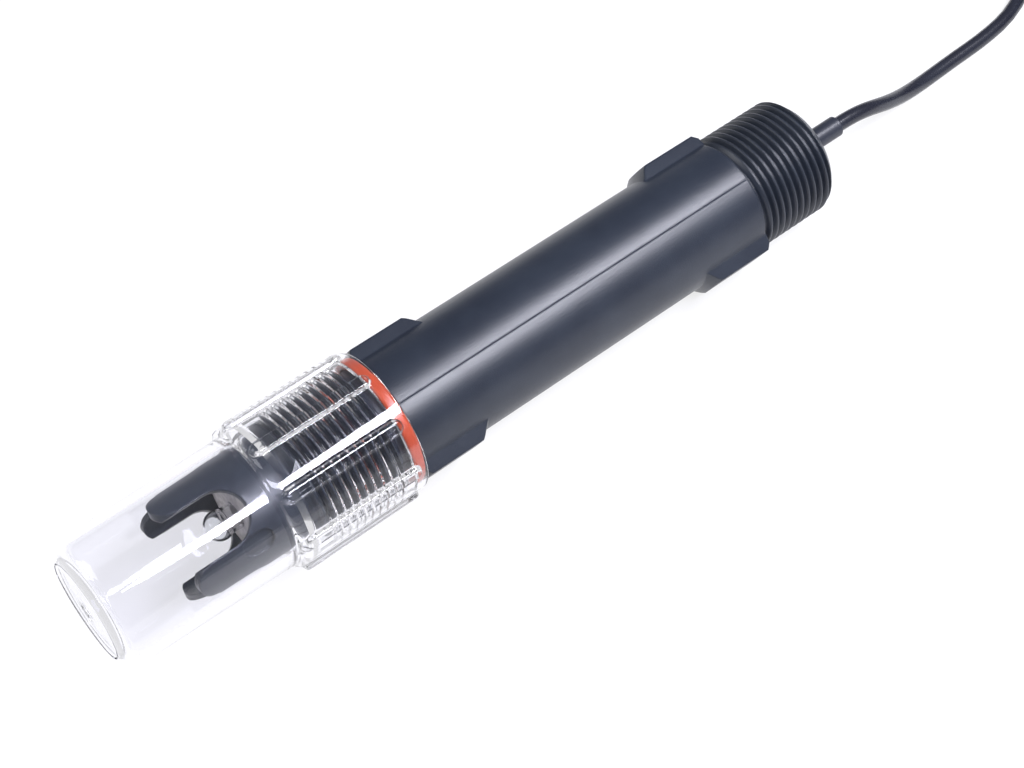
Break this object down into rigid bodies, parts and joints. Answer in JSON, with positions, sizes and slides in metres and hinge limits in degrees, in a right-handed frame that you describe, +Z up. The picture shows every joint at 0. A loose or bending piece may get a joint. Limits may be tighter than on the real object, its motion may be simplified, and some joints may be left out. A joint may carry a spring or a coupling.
{
  "type": "ph electrode",
  "caption": "Screw-in process electrode with glass bulb behind a slotted guard, clear screw-on storage cap, wrench pads, pipe threads and a cable with a bayonet plug",
  "frame": {"origin": "centre of the electrode's footprint on the surface it lies on, cable not counted", "axes": "X from the cap to the cable, Z up"},
  "size_m": [0.4156, 0.0393, 0.0329],
  "materials": {
    "housing": "fine-grained matte moulding",
    "clear_cap": "clear, glossy",
    "seal_ring": "smooth rubber",
    "glass": "clear glass",
    "silver_wire": "drawn wire",
    "white_plastic": "smooth",
    "porous_disc": "porous, matte",
    "black_rubber": "smooth rubber",
    "plated_metal": "nickel plated",
    "signal_insulation": "smooth insulation",
    "reference_insulation": "smooth insulation",
    "potting": "cast resin",
    "dark_plastic": "smooth",
    "cable_jacket": "smooth jacket",
    "tie_band": "smooth band",
    "boot_rubber": "smooth rubber",
    "gold_pin": "gold plated",
    "spring_steel": "spring steel"
  },
  "bodies": {
    "electrode": {"housing": "housing", "glass_electrode": "glass", "sensing_wire": "silver_wire", "stem_cap": "white_plastic", "junction_disc": "porous_disc", "junction_seal": "black_rubber", "divider_bung": "black_rubber", "bung_o_ring": "black_rubber", "reference_wire": "silver_wire", "signal_splice": "plated_metal", "reference_splice": "plated_metal", "signal_lead": "signal_insulation", "reference_lead": "reference_insulation", "potting_plug": "potting", "strain_relief": "dark_plastic", "cable_lead_in": "cable_jacket", "cable": "cable_jacket", "cable_hank": "cable_jacket", "hank_tie": "tie_band", "cable_tail": "cable_jacket", "plug_boot": "boot_rubber", "plug_ferrule": "plated_metal", "plug_body": "plated_metal", "plug_insulator": "white_plastic", "plug_pin": "gold_pin", "wave_washer": "spring_steel", "plug_gasket": "seal_ring"},
    "seal": {"cap_seal_ring": "seal_ring"},
    "cap": {"storage_cap": "clear_cap"},
    "sleeve": {"bayonet_sleeve": "plated_metal"}
  },
  "joints": [
    {"name": "cap_turn", "type": "hinge", "parent": "electrode", "child": "seal", "pos_m": [-0.02849, 0, 0.01572], "axis": [-0.9997, 0, 0.0231], "range_deg": [0, 3960]},
    {"name": "cap_pull_off", "type": "slide", "parent": "seal", "child": "cap", "axis": [-0.9997, 0, 0.0231], "range_m": [0, 0.058]},
    {"name": "bayonet_turn", "type": "hinge", "parent": "electrode", "child": "sleeve", "pos_m": [0.308, 0.007, 0.00725], "axis": [1, 0, 0], "continuous": true}
  ]
}
